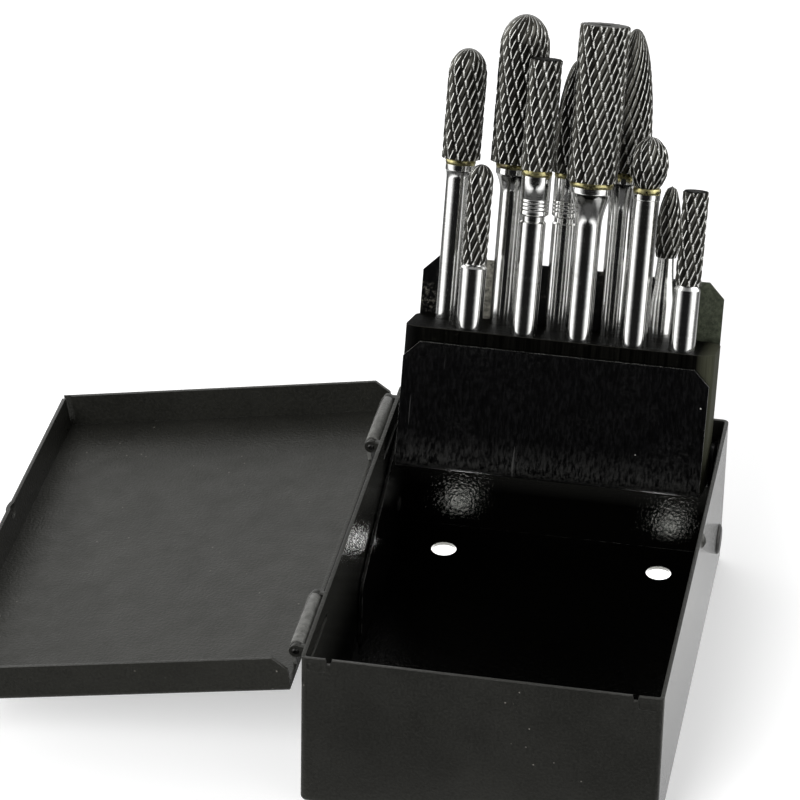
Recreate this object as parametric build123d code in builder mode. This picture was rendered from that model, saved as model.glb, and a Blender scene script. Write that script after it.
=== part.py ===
from build123d import *
from math import ceil, cos, pi, radians, sin, sqrt, tan
import os

# Carbide burr set: ten burrs stand in a folding holder inside a sheet-steel case.
# Millimetres. +Z is up, +Y points to the back wall, and the lid hangs open on the -X side.
# The origin is the centre of the case's underside.

os.makedirs("parts", exist_ok=True)

# Case
case_width = 82.0
case_depth = 124.0
case_height = 39.5
case_sheet = 0.9
case_bend_radius = 1.5
floor_hole_diameter = 6.2
floor_hole_spacing = 54.0
floor_hole_back_margin = 11.5
rim_notch_margin = 5.6
rim_notch_width = 1.5
rim_notch_depth = 1.3
rim_step_depth = 0.35
rim_step_height = 1.9
rim_step_drop = 1.3
detent_diameter = 3.6
detent_depth = 0.9
detent_drop = 2.4
detent_offset = 9.0
detent_pocket_gap = 0.15

# Lid
lid_sheet = 0.9
lid_side_gap = 0.5
lid_flange_height = 9.0
lid_axis_to_panel = 7.0
lid_droop = 10.0
lid_corner_chamfer = 3.2
lid_corner_slit = 0.8
lid_slit_depth = 6.5
lid_bend_radius = 1.5

# Lid hinge
hinge_pin_diameter = 1.6
hinge_running_gap = 0.05
hinge_axis_drop = 1.6
hinge_wall_gap = 0.3
hinge_end_margin = 16.5
knuckle_length = 20.0
knuckle_seam = 0.5
lug_length = 1.6
lug_gap = 0.3
lug_wall = 0.75
pin_end_overhang = 0.4
lance_slot_height = 1.6
lance_slot_gap = 1.2

# Cheek plates and their rivets
cheek_sheet = 0.8
cheek_wall_gap = 0.35
cheek_length = 57.6
cheek_front_height = 16.0
cheek_slope = 18.2
cheek_corner_radius = 4.0
cheek_back_gap = 0.5
rivet_back_margin = 10.0
rivet_height = 11.2
rivet_head_diameter = 7.6
rivet_head_rise = 0.7
rivet_shank_diameter = 3.6
rivet_collar_diameter = 6.4

# Holder: a folded bracket round a drilled block, turning on two pins in the cheeks
holder_lean = 20.0
pivot_back_margin = 8.5
pivot_height = 29.5
bracket_sheet = 1.0
bracket_side_inset = 0.5
bracket_bend_radius = 3.2
flap_height = 31.5
back_flap_height = 49.5
flap_chamfer = 3.8
web_below_pivot = 3.5
back_face_behind_pivot = 3.0
block_thickness = 21.0
block_height = 34.0
block_corner_radius = 4.0
ear_sheet = 0.9
ear_reach = 9.0
ear_rise = 7.0
ear_corner_radius = 3.0
ear_cheek_gap = 0.35
pivot_pin_diameter = 4.0
pivot_running_gap = 0.06
pivot_head_diameter = 6.2
pivot_head_gap = 0.1
pivot_pocket_depth = 2.6
pivot_pin_end_gap = 0.5

# Burr places in the block
row_spacing = 11.6
row_end_margin = 8.25
last_column_pitch = 11.8
row_stagger = 6.9
bore_depth = 27.0
shank_diameter = 6.35
shank_running_gap = 0.05
shank_end_chamfer = 0.6
braze_height = 1.4
nose_height_share = 1.35
flat_edge = 0.35
collar_length = 9.5
groove_length = 1.8
groove_depth = 0.45
taper_length = 8.5
narrow_neck_length = 11.0
narrow_neck_radius = 2.0
seat_inset = 0.25
flute_helix = 24.0
flute_pitch = 2.75
flute_turn_share = 0.4
flute_depth_share = 0.2

# The burrs of each row from the left: form, head diameter, head length, stand above the block, neck
burr_rows = {
    "back": [
        ("burr_01", "ball_nose", 9.5, 27.0, 66.5, "ring"),
        ("burr_03", "ball_nose", 12.2, 36.1, 76.0, "ring"),
        ("burr_05", "tree", 9.5, 27.3, 66.1, "collar"),
        ("burr_07", "tree", 12.2, 34.5, 75.0, "taper"),
        ("burr_09", "flame", 6.2, 17.5, 37.9, "narrow"),
    ],
    "front": [
        ("burr_02", "ball_nose", 6.2, 24.2, 40.1, "plain"),
        ("burr_04", "flat", 7.9, 26.8, 66.9, "collar"),
        ("burr_06", "flat", 12.2, 37.6, 76.3, "taper"),
        ("burr_08", "ball", 9.4, 12.3, 50.7, "ring"),
        ("burr_10", "flat", 6.35, 22.8, 38.8, "plain"),
    ],
}

# Places that follow from the sizes above
inner_wall_x = case_width / 2 - case_sheet
inner_wall_y = case_depth / 2 - case_sheet
knuckle_radius = hinge_pin_diameter / 2 + hinge_running_gap + lid_sheet
hinge_x = -case_width / 2 - hinge_wall_gap - knuckle_radius
hinge_z = case_height - hinge_axis_drop
hinge_station = case_depth / 2 - hinge_end_margin
lug_radius = hinge_pin_diameter / 2 + lug_wall
wall_middle_x = case_sheet / 2 - case_width / 2
cheek_outer_x = inner_wall_x - cheek_wall_gap
cheek_inner_x = cheek_outer_x - cheek_sheet
ear_outer_x = cheek_inner_x - ear_cheek_gap
block_width = 2 * (ear_outer_x - ear_sheet)
bracket_width = block_width - 2 * bracket_side_inset
pivot_head_thickness = cheek_wall_gap - pivot_head_gap
pivot_y = case_depth / 2 - pivot_back_margin
rivet_y = case_depth / 2 - rivet_back_margin
flap_face = back_face_behind_pivot - 2 * bracket_sheet - block_thickness
block_back = back_face_behind_pivot - bracket_sheet
block_centre = block_back - block_thickness / 2
block_bottom = bracket_sheet - web_below_pivot
block_top = block_bottom + block_height

lean = radians(holder_lean)
droop = radians(lid_droop)

# The holder's frame: origin on the pivot axis, x across, y to its back, z along the burrs
holder_frame = Plane(origin=(0, pivot_y, pivot_height), x_dir=(1, 0, 0), z_dir=(0, sin(lean), cos(lean)))

# The lid's frame: origin on the hinge axis, x from the hinge to the far edge, z out of the tray
lid_out = (-cos(droop), 0, -sin(droop))
lid_up = (-sin(droop), 0, cos(droop))
lid_frame = Plane(origin=(hinge_x, 0, hinge_z), x_dir=lid_out, z_dir=lid_up)


def section_plane(frame, x):
    """A plane across a frame's x axis, with its own x along the frame's y and its y along the frame's z."""
    return Plane(origin=frame.from_local_coords((x, 0, 0)), x_dir=frame.y_dir, z_dir=frame.x_dir)


def end_plane(frame, y):
    """A plane across a frame's y axis, with its own x along the frame's x and its y along the frame's z."""
    return Plane(origin=frame.from_local_coords((0, y, 0)), x_dir=frame.x_dir, z_dir=-frame.y_dir)


def save(piece, name):
    piece.label = name
    export_step(piece, "parts/" + name + ".step")


def turned(profile, base):
    """A turned piece: its half profile of (radius, height) points spun about its base plane's z axis."""
    with BuildPart() as piece:
        with BuildSketch(Plane(origin=base.origin, x_dir=base.x_dir, z_dir=-base.y_dir)):
            with BuildLine():
                Polyline(*profile, close=True)
            make_face()
        revolve(axis=Axis(base.origin, base.z_dir))
    return piece.part


def button(base, diameter, rise, root):
    """A round-topped button standing on a plane, with a root sunk below the plane."""
    radius = diameter / 2
    sphere = (radius**2 + rise**2) / (2 * rise)
    halfway = (radius / 2, rise - sphere + sqrt(sphere**2 - radius**2 / 4))
    with BuildPart() as piece:
        with BuildSketch(Plane(origin=base.origin, x_dir=base.x_dir, z_dir=-base.y_dir)):
            with BuildLine():
                Polyline((0, rise), (0, -root), (radius, -root), (radius, 0))
                ThreePointArc((radius, 0), halfway, (0, rise))
            make_face()
        revolve(axis=Axis(base.origin, base.z_dir))
    return piece.part


world = Plane.XY
front_face = Plane.XZ

# The case: a folded tray with rim notches at its corners, two floor holes and a latch detent
with BuildPart() as case_body:
    with BuildSketch(world):
        RectangleRounded(case_width, case_depth, case_bend_radius)
    extrude(amount=case_height)
    fillet(case_body.faces().sort_by(Axis.Z)[0].edges(), case_bend_radius - 0.1)
    with BuildSketch(world.offset(case_sheet)):
        RectangleRounded(2 * inner_wall_x, 2 * inner_wall_y, case_bend_radius - case_sheet)
    extrude(amount=case_height, mode=Mode.SUBTRACT)
    with BuildSketch(world):
        with Locations((0, inner_wall_y - floor_hole_back_margin)):
            with GridLocations(floor_hole_spacing, 1, 2, 1):
                Circle(floor_hole_diameter / 2)
    extrude(amount=case_sheet, mode=Mode.SUBTRACT)
    with BuildSketch(Plane.YZ.offset(-case_width / 2)):
        with Locations((rivet_y, rivet_height)):
            Circle(rivet_shank_diameter / 2)
    extrude(amount=case_width, mode=Mode.SUBTRACT)
    # V notches where the front and back hems end short of the corners
    notch_x = case_width / 2 - rim_notch_margin - rim_notch_width / 2
    with BuildSketch(front_face.offset(-case_depth / 2)):
        with Locations((-notch_x, case_height), (notch_x, case_height)):
            Polygon(
                (-rim_notch_width / 2, 0.1),
                (rim_notch_width / 2, 0.1),
                (rim_notch_width / 4, -rim_notch_depth),
                (-rim_notch_width / 4, -rim_notch_depth),
                align=None,
            )
    extrude(amount=case_depth, mode=Mode.SUBTRACT)
    # A shallow joggle below each corner lap, on the outside of both end walls
    step_length = rim_notch_margin - case_bend_radius
    step_x = case_width / 2 - case_bend_radius - step_length / 2
    step_z = case_height - rim_step_drop - rim_step_height / 2
    for side in (-1, 1):
        with BuildSketch(front_face.offset(-side * (case_depth / 2 - rim_step_depth))):
            with Locations((-step_x, step_z), (step_x, step_z)):
                Rectangle(step_length, rim_step_height)
        extrude(amount=-side * rim_step_depth, mode=Mode.SUBTRACT)
    # Hinge lugs lanced out of the left wall, each pair leaving a slot beside the lid's knuckle
    for station in (-hinge_station, hinge_station):
        slot_top = hinge_z - knuckle_radius - lance_slot_gap
        with BuildSketch(Plane.YZ.offset(-case_width / 2)):
            with Locations((station, slot_top - lance_slot_height / 2)):
                Rectangle(knuckle_length, lance_slot_height)
        extrude(amount=case_sheet, mode=Mode.SUBTRACT)
        for end in (-1, 1):
            lug_y = station + end * (knuckle_length / 2 + lug_gap + lug_length / 2)
            with BuildSketch(front_face.offset(-lug_y - lug_length / 2)):
                with Locations((hinge_x, hinge_z)):
                    Circle(lug_radius)
                    Rectangle(wall_middle_x - hinge_x, 1.6 * lug_radius, align=(Align.MIN, Align.CENTER))
                with Locations((hinge_x, hinge_z)):
                    Circle(hinge_pin_diameter / 2, mode=Mode.SUBTRACT)
            extrude(amount=lug_length)
    # The latch detent: a dimple pressed outwards under the right rim, hollow on the inside
    detent_z = case_height - detent_drop
    detent_place = (case_width / 2, detent_offset, detent_z)
    wall_outside = Plane(origin=detent_place, x_dir=(0, 1, 0), z_dir=(1, 0, 0))
    add(button(wall_outside, detent_diameter, detent_depth, case_sheet / 2))
    hollow_diameter = detent_diameter - case_sheet
    add(button(wall_outside.offset(-case_sheet), hollow_diameter, detent_depth, case_sheet), mode=Mode.SUBTRACT)
save(case_body.part, "case_body")

# The cheeks: one plate inside each side wall, tall at the pivot and sloping to the front
cheek_back_y = inner_wall_y - cheek_back_gap
cheek_front = cheek_back_y - cheek_length
cheek_back_height = cheek_front_height + cheek_length * tan(radians(cheek_slope))


def cheek(side):
    with BuildPart() as plate:
        with BuildSketch(Plane.YZ.offset(side * cheek_inner_x)) as outline:
            with BuildLine():
                Polyline(
                    (cheek_front, case_sheet),
                    (cheek_front, case_sheet + cheek_front_height),
                    (cheek_back_y, case_sheet + cheek_back_height),
                    (cheek_back_y, case_sheet),
                    close=True,
                )
            make_face()
            fillet(outline.vertices().group_by(Axis.X)[0].sort_by(Axis.Y)[-1], cheek_corner_radius)
            with Locations((pivot_y, pivot_height)):
                Circle(pivot_pin_diameter / 2, mode=Mode.SUBTRACT)
            with Locations((rivet_y, rivet_height)):
                Circle(rivet_shank_diameter / 2, mode=Mode.SUBTRACT)
        extrude(amount=side * cheek_sheet)
    return plate.part


for side, name in ((-1, "cheek_left"), (1, "cheek_right")):
    save(cheek(side), name)


def side_plane(side, y, z):
    """A plane on a cheek's inner face, facing outwards."""
    return Plane(origin=(side * cheek_inner_x, y, z), x_dir=(0, 1, 0), z_dir=(side, 0, 0))


# Cheek rivets: a low head outside the wall, a collar between wall and cheek, a set head inside
wall_in = inner_wall_x - cheek_inner_x
wall_out = wall_in + case_sheet
for side, name in ((-1, "cheek_rivet_left"), (1, "cheek_rivet_right")):
    rivet_profile = [
        (0, -ear_cheek_gap / 2),
        (rivet_shank_diameter / 2, -ear_cheek_gap / 2),
        (rivet_shank_diameter / 2, cheek_sheet),
        (rivet_collar_diameter / 2, cheek_sheet),
        (rivet_collar_diameter / 2, wall_in),
        (rivet_shank_diameter / 2, wall_in),
        (rivet_shank_diameter / 2, wall_out),
        (rivet_head_diameter / 2, wall_out),
        (rivet_head_diameter / 2 - rivet_head_rise, wall_out + rivet_head_rise),
        (0, wall_out + rivet_head_rise),
    ]
    save(turned(rivet_profile, side_plane(side, rivet_y, rivet_height)), name)

# Pivot pins: set in the cheeks, each reaching through a bracket ear into a pocket in the block
pin_reach = cheek_inner_x - block_width / 2 + pivot_pocket_depth - pivot_pin_end_gap
for side, name in ((-1, "pivot_pin_left"), (1, "pivot_pin_right")):
    pin_profile = [
        (0, -pin_reach),
        (pivot_pin_diameter / 2 - 0.3, -pin_reach),
        (pivot_pin_diameter / 2, 0.3 - pin_reach),
        (pivot_pin_diameter / 2, cheek_sheet),
        (pivot_head_diameter / 2, cheek_sheet),
        (pivot_head_diameter / 2, cheek_sheet + pivot_head_thickness),
        (0, cheek_sheet + pivot_head_thickness),
    ]
    save(turned(pin_profile, side_plane(side, pivot_y, pivot_height)), name)

# Hinge pins: one through each lid knuckle and the two lugs beside it
pin_length = knuckle_length + 2 * (lug_gap + lug_length + pin_end_overhang)
for station, name in ((-hinge_station, "hinge_pin_front"), (hinge_station, "hinge_pin_back")):
    with BuildPart() as hinge_pin:
        with BuildSketch(front_face.offset(-station - pin_length / 2)):
            with Locations((hinge_x, hinge_z)):
                Circle(hinge_pin_diameter / 2)
        extrude(amount=pin_length)
        chamfer(hinge_pin.edges().filter_by(GeomType.CIRCLE), pin_end_overhang / 2)
    save(hinge_pin.part, name)

# The lid: a shallow tray, folded up at the front, back and far edges, rolled at the hinge
lid_inner_y = case_depth / 2 + lid_side_gap
lid_outer_y = lid_inner_y + lid_sheet
lid_near = knuckle_radius - lid_sheet
lid_far = case_width / 2 + lid_side_gap - hinge_x
lid_panel = -lid_axis_to_panel
lid_rim = lid_panel + lid_flange_height
with BuildPart() as lid_shell:
    with BuildSketch(lid_frame.offset(lid_panel)):
        with Locations((lid_near, 0)):
            Rectangle(lid_far + lid_sheet - lid_near, 2 * lid_outer_y, align=(Align.MIN, Align.CENTER))
    extrude(amount=lid_flange_height)
    fold_edges = lid_shell.edges().filter_by(
        lambda e: abs(lid_frame.to_local_coords(e.center()).Z - lid_panel) < 0.01
    )
    fillet(fold_edges, lid_bend_radius)
    with BuildSketch(lid_frame.offset(lid_panel + lid_sheet)):
        with Locations((knuckle_radius, 0)):
            Rectangle(lid_far - knuckle_radius, 2 * lid_inner_y, align=(Align.MIN, Align.CENTER))
    extrude(amount=lid_flange_height, mode=Mode.SUBTRACT)
    # The leaf on the hinge side stands only as high as the hinge axis, and only behind each knuckle
    with BuildSketch(lid_frame.offset(lid_panel + lid_sheet + lid_bend_radius)):
        for y_range in (
            (-lid_inner_y, -hinge_station - knuckle_length / 2),
            (-hinge_station + knuckle_length / 2, hinge_station - knuckle_length / 2),
            (hinge_station + knuckle_length / 2, lid_inner_y),
        ):
            with Locations((knuckle_radius, (y_range[0] + y_range[1]) / 2)):
                Rectangle(4 * lid_sheet, y_range[1] - y_range[0])
    extrude(amount=lid_flange_height, mode=Mode.SUBTRACT)
    with BuildSketch(lid_frame):
        with Locations((knuckle_radius, 0)):
            Rectangle(4 * lid_sheet, 2 * lid_inner_y)
    extrude(amount=lid_flange_height, mode=Mode.SUBTRACT)
    # Chamfered ends of the front and back flanges beside the hinge
    with BuildSketch(end_plane(lid_frame, -lid_outer_y)):
        with Locations((lid_near, lid_rim)):
            Polygon((0, 0), (lid_corner_chamfer, 0), (0, -lid_corner_chamfer), align=None)
    extrude(amount=-2 * lid_outer_y, mode=Mode.SUBTRACT)
    # Slits that part the flanges at the two far corners
    with BuildSketch(lid_frame.offset(lid_rim)):
        with Locations((lid_far, -lid_inner_y), (lid_far, lid_inner_y)):
            Rectangle(2.6 * lid_sheet, 2 * lid_corner_slit)
    extrude(amount=-lid_slit_depth, mode=Mode.SUBTRACT)
    # The knuckles: the leaf rolled over the hinge axis and back, with a seam where its end stops short
    for station in (-hinge_station, hinge_station):
        with BuildSketch(end_plane(lid_frame, -station - knuckle_length / 2)):
            Circle(knuckle_radius)
        extrude(amount=-knuckle_length)
        with BuildSketch(end_plane(lid_frame, -station - knuckle_length / 2)):
            Circle(hinge_pin_diameter / 2 + hinge_running_gap)
            with Locations((lid_near, -hinge_pin_diameter / 4)):
                Rectangle(knuckle_seam, knuckle_radius, align=(Align.MAX, Align.MAX))
        extrude(amount=-knuckle_length, mode=Mode.SUBTRACT)
    # The pocket for the case's detent, pressed out of the far flange and open at its rim
    pocket_rise = detent_depth - lid_side_gap + detent_pocket_gap
    pocket_place = lid_frame.from_local_coords((lid_far + lid_sheet, -detent_offset, hinge_z - detent_z))
    flange_outside = Plane(origin=pocket_place, x_dir=lid_frame.y_dir, z_dir=lid_frame.x_dir)
    pocket_diameter = detent_diameter + 2 * detent_pocket_gap
    add(button(flange_outside, pocket_diameter + 2 * lid_sheet, pocket_rise, lid_sheet / 2))
    with BuildSketch(lid_frame.offset(lid_rim)):
        with Locations((lid_far + lid_sheet, 0)):
            Rectangle(4 * lid_sheet, lid_outer_y)
    extrude(amount=lid_flange_height, mode=Mode.SUBTRACT)
    flange_inside = flange_outside.offset(-lid_sheet)
    add(button(flange_inside, pocket_diameter, pocket_rise, lid_sheet), mode=Mode.SUBTRACT)
save(lid_shell.part, "lid_shell")

# The bracket: front flap, web and back flap folded from one sheet, with two pivot ears
with BuildPart() as holder_bracket:
    with BuildSketch(section_plane(holder_frame, -bracket_width / 2)) as fold:
        with Locations((flap_face, -web_below_pivot)):
            bracket_thickness = block_thickness + 2 * bracket_sheet
            Rectangle(bracket_thickness, back_flap_height, align=(Align.MIN, Align.MIN))
        fillet(fold.vertices().group_by(Axis.Y)[0], bracket_bend_radius)
        with Locations((flap_face + bracket_sheet, block_bottom)):
            Rectangle(block_thickness, back_flap_height, align=(Align.MIN, Align.MIN), mode=Mode.SUBTRACT)
        with Locations((flap_face, flap_height - web_below_pivot)):
            Rectangle(block_thickness, back_flap_height, align=(Align.CENTER, Align.MIN), mode=Mode.SUBTRACT)
    extrude(amount=bracket_width)
    upright = holder_bracket.edges().filter_by(
        lambda e: e.length < bracket_sheet * 1.01 and abs(e.tangent_at(0.5).dot(holder_frame.y_dir)) > 0.99
    )
    flap_top = flap_height - web_below_pivot
    chamfer(
        upright.filter_by(lambda e: holder_frame.to_local_coords(e.center()).Z > flap_top - 0.01),
        flap_chamfer,
    )
    for side in (-1, 1):
        with BuildSketch(section_plane(holder_frame, side * block_width / 2)) as ear:
            with Locations((back_face_behind_pivot, -web_below_pivot)):
                Rectangle(ear_reach, ear_rise + web_below_pivot, align=(Align.MAX, Align.MIN))
            fillet(ear.vertices().group_by(Axis.X)[0], ear_corner_radius)
        extrude(amount=side * ear_sheet)
        with BuildSketch(section_plane(holder_frame, side * bracket_width / 2)):
            with Locations((back_face_behind_pivot, -web_below_pivot)):
                Rectangle(bracket_sheet, ear_rise + web_below_pivot, align=(Align.MAX, Align.MIN))
        extrude(amount=side * ((block_width - bracket_width) / 2 + ear_sheet))
        with BuildSketch(section_plane(holder_frame, side * block_width / 2)):
            Circle(pivot_pin_diameter / 2 + pivot_running_gap)
        extrude(amount=side * ear_sheet, mode=Mode.SUBTRACT)
save(holder_bracket.part, "holder_bracket")

# The block: rounded corners, ten blind bores in two staggered rows and a pocket for each pivot pin
row_start = row_end_margin - block_width / 2
row_length = block_width - 2 * row_end_margin - row_stagger
column_pitch = (row_length - last_column_pitch) / 3
columns = [0, column_pitch, 2 * column_pitch, 3 * column_pitch, row_length]
rows = {"back": block_centre + row_spacing / 2, "front": block_centre - row_spacing / 2}
starts = {"back": row_start, "front": row_start + row_stagger}


def burr_places(row):
    return [(starts[row] + column, rows[row]) for column in columns]


with BuildPart() as holder_block:
    with BuildSketch(holder_frame.offset(block_bottom)):
        with Locations((0, block_centre)):
            RectangleRounded(block_width, block_thickness, block_corner_radius)
    extrude(amount=block_height)
    with BuildSketch(holder_frame.offset(block_top)):
        with Locations(*burr_places("back"), *burr_places("front")):
            Circle(shank_diameter / 2 + shank_running_gap)
    extrude(amount=-bore_depth, mode=Mode.SUBTRACT)
    for side in (-1, 1):
        with BuildSketch(section_plane(holder_frame, side * block_width / 2)):
            Circle(pivot_pin_diameter / 2 + pivot_running_gap)
        extrude(amount=-side * pivot_pocket_depth, mode=Mode.SUBTRACT)
save(holder_block.part, "holder_block")


def dome(share):
    """Radius share of a rounded end at a height share of its dome."""
    return sqrt(max(0.0, 1 - share * share))


def head_outline(form, radius, length):
    """(height, radius) stations of a head from its base to its tip."""
    tip = 0.12
    if form == "ball_nose":
        dome_height = nose_height_share * radius
        straight = length - dome_height
        shares = (0.0, 0.35, 0.62, 0.82, 0.94)
        stations = [(straight + dome_height * s, radius * dome(s)) for s in shares]
        return [(0, radius)] + stations + [(length, radius * tip)]
    if form == "flat":
        return [(0, radius), (length - flat_edge, radius), (length, radius - flat_edge)]
    if form == "tree":
        shares = (0.14, 0.3, 0.46, 0.62, 0.76, 0.87, 0.95)
        stations = [(0, radius * 0.985)]
        stations += [(length * s, radius * sqrt(1 - s**1.7)) for s in shares]
        return stations + [(length, radius * tip)]
    if form == "flame":
        shares = (0.0, 0.14, 0.3, 0.46, 0.62, 0.78, 0.91)
        widths = (0.8, 0.95, 1.0, 0.96, 0.84, 0.64, 0.4)
        stations = [(length * s, radius * w) for s, w in zip(shares, widths)]
        return stations + [(length, radius * tip)]
    shares = (-0.82, -0.55, -0.25, 0.05, 0.35, 0.6, 0.8, 0.93)
    half = length / 1.82
    return [(half * (s + 0.82), radius * dome(s)) for s in shares] + [(length, radius * tip)]


def flute_section(radius, flutes, turn, depth_share):
    """A ring of saw teeth: each flute has a steep face and a long back."""
    points = []
    for k in range(flutes):
        start = turn + 2 * pi * k / flutes
        root = start + 0.7 * 2 * pi / flutes
        points.append((radius * cos(start), radius * sin(start)))
        points.append((radius * (1 - depth_share) * cos(root), radius * (1 - depth_share) * sin(root)))
    return points


def fluted_head(base, form, diameter, length):
    """A burr head: tooth rings along its outline, each turned on a little, joined by flat facets."""
    radius = diameter / 2
    flutes = max(6, round(pi * diameter / flute_pitch))
    turn_per_mm = tan(radians(flute_helix)) / radius
    longest_step = flute_turn_share * 2 * pi / flutes / turn_per_mm
    outline = head_outline(form, radius, length)
    stations = outline[:1]
    for (low, low_radius), (high, high_radius) in zip(outline, outline[1:]):
        steps = ceil((high - low) / longest_step)
        stations += [
            (low + (high - low) * k / steps, low_radius + (high_radius - low_radius) * k / steps)
            for k in range(1, steps + 1)
        ]
    rings = []
    for height, ring in stations:
        section = flute_section(ring, flutes, height * turn_per_mm, flute_depth_share)
        rings.append([base.from_local_coords((x, y, height)) for x, y in section])
    outlines = [rings[0], rings[-1]]
    for low, high in zip(rings, rings[1:]):
        for k in range(len(low)):
            outlines.append([low[k - 1], low[k], high[k - 1]])
            outlines.append([low[k], high[k], high[k - 1]])
    with BuildPart() as head:
        add(Solid(Shell([Face(Wire.make_polygon(outline)) for outline in outlines])))
    return head.part


def braze(base, head_diameter):
    """The brass fillet between a carbide head and its shank."""
    middle = head_diameter / 2 * (1 - flute_depth_share / 2)
    edge = middle - braze_height / 4
    profile = [(0, 0), (edge, 0), (middle, braze_height / 2), (edge, braze_height), (0, braze_height)]
    return turned(profile, base)


def shank_profile(neck, head_diameter, top):
    """(radius, height) points of a shank from its end in the bore to the seat of its head."""
    shank = shank_diameter / 2
    seat = head_diameter / 2 * (1 - flute_depth_share) - seat_inset
    chamfer_radius = shank - shank_end_chamfer
    end = [(0, -bore_depth), (chamfer_radius, -bore_depth), (shank, shank_end_chamfer - bore_depth)]
    rim = [(seat, top - braze_height / 2), (seat, top), (0, top)]
    if neck == "collar":
        collar_bottom = top - collar_length
        groove_bottom = collar_bottom - groove_length
        return end + [
            (shank, groove_bottom),
            (shank - groove_depth, groove_bottom + groove_depth),
            (shank - groove_depth, collar_bottom),
            (seat, collar_bottom),
            (seat, top),
            (0, top),
        ]
    if neck == "taper":
        flare = (shank + (seat - shank) * 0.25, top - taper_length / 2)
        return end + [(shank, top - taper_length), flare] + rim
    if neck == "narrow":
        return end + [(shank, top - narrow_neck_length), (narrow_neck_radius, top), (0, top)]
    return end + [(shank, top - braze_height / 2 - abs(seat - shank))] + rim


# The burrs: each is a steel shank, a carbide head and, where it shows, a brass braze
for row, row_burrs in burr_rows.items():
    for (name, form, diameter, head_length, stand, neck), place in zip(row_burrs, burr_places(row)):
        mouth = Plane(
            origin=holder_frame.from_local_coords((place[0], place[1], block_top)),
            x_dir=holder_frame.x_dir,
            z_dir=holder_frame.z_dir,
        )
        head_base = stand - head_length
        has_braze = neck in ("ring", "collar", "taper")
        seat_height = head_base - braze_height if has_braze else head_base
        save(turned(shank_profile(neck, diameter, seat_height), mouth), name + "_shank")
        save(fluted_head(mouth.offset(head_base), form, diameter, head_length), name + "_head")
        if has_braze:
            save(braze(mouth.offset(seat_height), diameter), name + "_braze")
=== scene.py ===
# %% [markdown]
# # A carbide burr set in its sheet-steel case
# Ten rotary burrs stand in a drilled block. The block sits in a folded bracket that swings up out of a small
# black tray, and a shallow lid hangs open on the left. The solids come ready made from the CAD frame, and this
# notebook dresses them: it rounds and wears their edges, recuts the burr heads with both sets of flutes, and
# gives each surface its finish. Lengths in the tables below are in millimetres.

# %% Load the frame
from math import atan2, ceil, cos, hypot, pi, radians, sin, sqrt, tan

import bmesh
import bpy
from mathutils import Matrix, Vector


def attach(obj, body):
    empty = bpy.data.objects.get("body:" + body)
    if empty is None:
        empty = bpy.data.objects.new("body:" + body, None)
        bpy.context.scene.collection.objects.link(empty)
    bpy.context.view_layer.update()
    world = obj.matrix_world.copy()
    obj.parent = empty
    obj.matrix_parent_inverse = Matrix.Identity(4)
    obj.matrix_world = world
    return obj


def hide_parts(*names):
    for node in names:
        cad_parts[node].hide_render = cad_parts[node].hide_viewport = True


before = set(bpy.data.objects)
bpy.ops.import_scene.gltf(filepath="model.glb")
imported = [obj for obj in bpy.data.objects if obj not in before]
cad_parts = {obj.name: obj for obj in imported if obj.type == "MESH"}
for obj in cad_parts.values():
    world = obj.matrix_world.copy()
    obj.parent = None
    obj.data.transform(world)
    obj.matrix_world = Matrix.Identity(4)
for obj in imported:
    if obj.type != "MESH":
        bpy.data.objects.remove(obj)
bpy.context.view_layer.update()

MM = 0.001

# %% [markdown]
# ## Places that everything shares
# The burrs lean back with the holder, so each one is easiest to model upright and then carried to its bore by
# one matrix. The holder's frame has its origin on the pivot axis: x runs across, y to the back and z up along
# the burrs, which stand in two rows. The lid turns on the hinge axis, whose place the curled knuckles share.

# %% Frames of the holder and the lid
HOLDER_LEAN = radians(20)
BLOCK_TOP = 31.5
PIVOT_Y, PIVOT_Z = 53.5, 29.5
BACK_ROW, FRONT_ROW = -2.7, -14.3
holder_frame = Matrix.Translation(Vector((0, PIVOT_Y, PIVOT_Z)) * MM) @ Matrix.Rotation(-HOLDER_LEAN, 4, "X")
LID_HINGE = Vector((-43.05, 0, 37.9)) * MM


def mouth(x, y):
    """The matrix that carries an upright burr, with its origin at the top of the block, to its bore."""
    return holder_frame @ Matrix.Translation(Vector((x, y, BLOCK_TOP)) * MM)


print("first bore", [round(c, 4) for c in mouth(-29.45, BACK_ROW).translation])

# %% [markdown]
# ## From a bmesh to a piece
# Every piece ends the same way: its mesh is placed, its shading is smoothed except across sharp edges, and it
# is tied to the CAD body it moves with. `replaces` hides the plain solid it stands for. Wide flat faces stay
# flat-shaded, because smoothing would spread the tilt of their tiny bevels right across them.

# %% Turn a bmesh into a riding piece
WIDE_FACE = 150 * MM**2


def make_piece(bm, name, body, finish, nodes=(), sharp=32):
    mesh = bpy.data.meshes.new(name)
    for edge in bm.edges:
        edge.smooth = len(edge.link_faces) == 2 and edge.calc_face_angle(pi) < radians(sharp)
    for face in bm.faces:
        face.smooth = face.calc_area() < WIDE_FACE
    bm.to_mesh(mesh)
    bm.free()
    mesh.materials.append(finish)
    piece = bpy.data.objects.new(name, mesh)
    bpy.context.scene.collection.objects.link(piece)
    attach(piece, body)
    if nodes:
        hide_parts(*nodes)
    return piece


print("flat-shaded from", round(WIDE_FACE / MM**2), "square millimetres")

# %% [markdown]
# ## Small tools for finishes
# A finish is a small graph of nodes. The helpers below add one node each and join it up, so that a finish
# reads as a short recipe. All patterns run on Object coordinates, which are metres here, so a scale of 1000
# gives features about a millimetre apart.


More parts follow.
